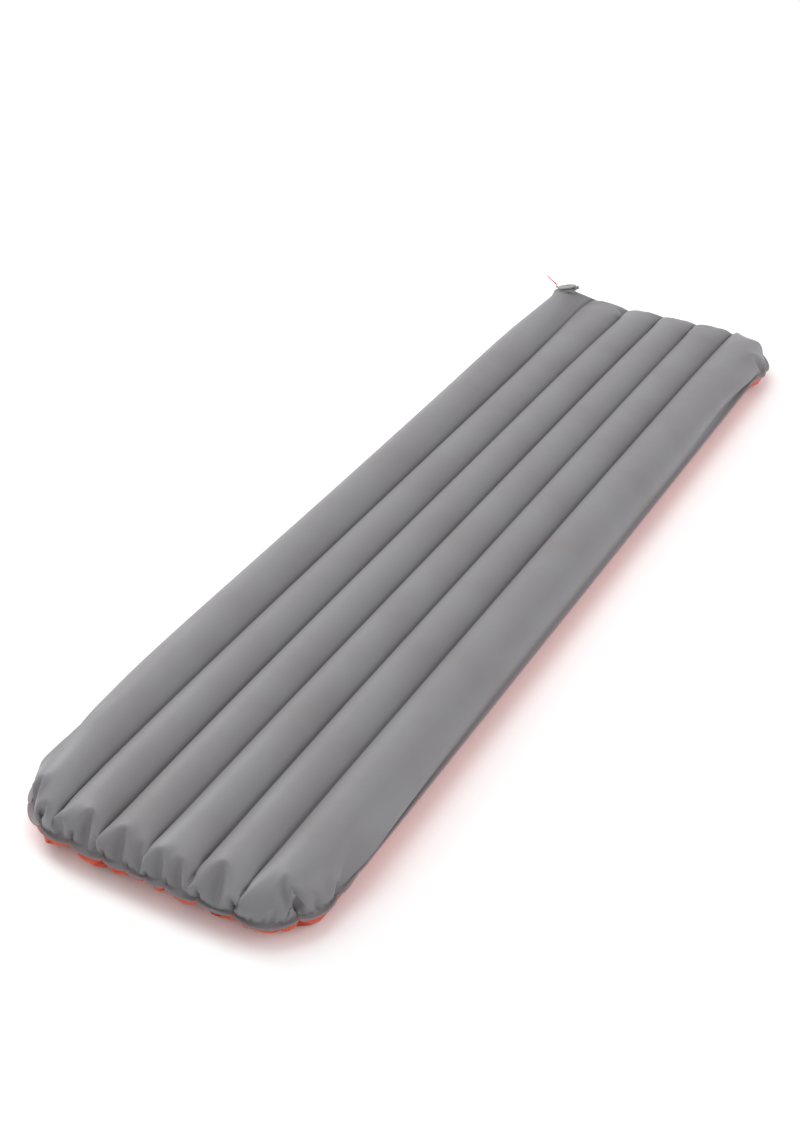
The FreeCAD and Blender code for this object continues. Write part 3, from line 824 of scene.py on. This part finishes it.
# ---- floor, light and camera ----
floor_mesh = bpy.data.meshes.new("floor")
FLOOR_HALF = 30
floor_mesh.from_pydata(
    [(-FLOOR_HALF, -FLOOR_HALF, 0), (FLOOR_HALF, -FLOOR_HALF, 0),
     (FLOOR_HALF, FLOOR_HALF, 0), (-FLOOR_HALF, FLOOR_HALF, 0)], [], [(0, 1, 2, 3)])
floor = bpy.data.objects.new("floor", floor_mesh)
bpy.context.scene.collection.objects.link(floor)
pale, _, pale_shader = node_material("pale_floor")
pale_shader.inputs["Base Color"].default_value = (0.9, 0.9, 0.9, 1)
pale_shader.inputs["Roughness"].default_value = 0.9
pale_shader.inputs["Specular IOR Level"].default_value = 0.1
floor_mesh.materials.append(pale)


def softbox(name, place, aim, size, power, colour):
    lamp = bpy.data.lights.new(name, "AREA")
    lamp.shape = "DISK"
    lamp.size = size
    lamp.energy = power
    lamp.color = colour
    light = bpy.data.objects.new(name, lamp)
    light.location = place
    light.rotation_euler = (Vector(aim) - Vector(place)).to_track_quat("-Z", "Y").to_euler()
    bpy.context.scene.collection.objects.link(light)


softbox("key", (-3.2, 0.7, 2.4), (0, 0.2, 0), 2.0, 92, (1.0, 0.99, 0.98))
softbox("overhead", (-0.6, 0.4, 3.6), (0, 0, 0), 3.0, 40, (0.97, 0.98, 1.0))
softbox("fill", (3.0, 0.2, 1.6), (0, 0, 0), 2.6, 34, (0.98, 0.98, 1.0))
world = bpy.data.worlds.new("studio")
world.use_nodes = True
world.node_tree.nodes["Background"].inputs["Color"].default_value = (1, 1, 1, 1)
world.node_tree.nodes["Background"].inputs["Strength"].default_value = 0.85
bpy.context.scene.world = world
bpy.context.scene.view_settings.view_transform = "Standard"

CAMERA_PLACE = Vector((1.04377, -2.00507, 1.56843))
CAMERA_YAW = math.radians(30.278)
CAMERA_PITCH = math.radians(35.124)
CAMERA_ROLL = math.radians(-0.939)
LONG_SIDE = 36.0
PICTURE_HEIGHT = 1131
FOCAL_PIXELS = 1594.8

forward = Vector((
    -math.sin(CAMERA_YAW) * math.cos(CAMERA_PITCH),
    math.cos(CAMERA_YAW) * math.cos(CAMERA_PITCH),
    -math.sin(CAMERA_PITCH),
))
level = Vector((math.cos(CAMERA_YAW), math.sin(CAMERA_YAW), 0))
upward = level.cross(forward)
right = math.cos(CAMERA_ROLL) * level + math.sin(CAMERA_ROLL) * upward
up = -math.sin(CAMERA_ROLL) * level + math.cos(CAMERA_ROLL) * upward
camera_data = bpy.data.cameras.new("camera")
camera_data.sensor_fit = "VERTICAL"
camera_data.sensor_height = LONG_SIDE
camera_data.lens = FOCAL_PIXELS * LONG_SIDE / PICTURE_HEIGHT
camera = bpy.data.objects.new("camera", camera_data)
turned = Matrix((right, up, -forward)).transposed().to_4x4()
camera.matrix_world = Matrix.Translation(CAMERA_PLACE) @ turned
bpy.context.scene.collection.objects.link(camera)
bpy.context.scene.camera = camera
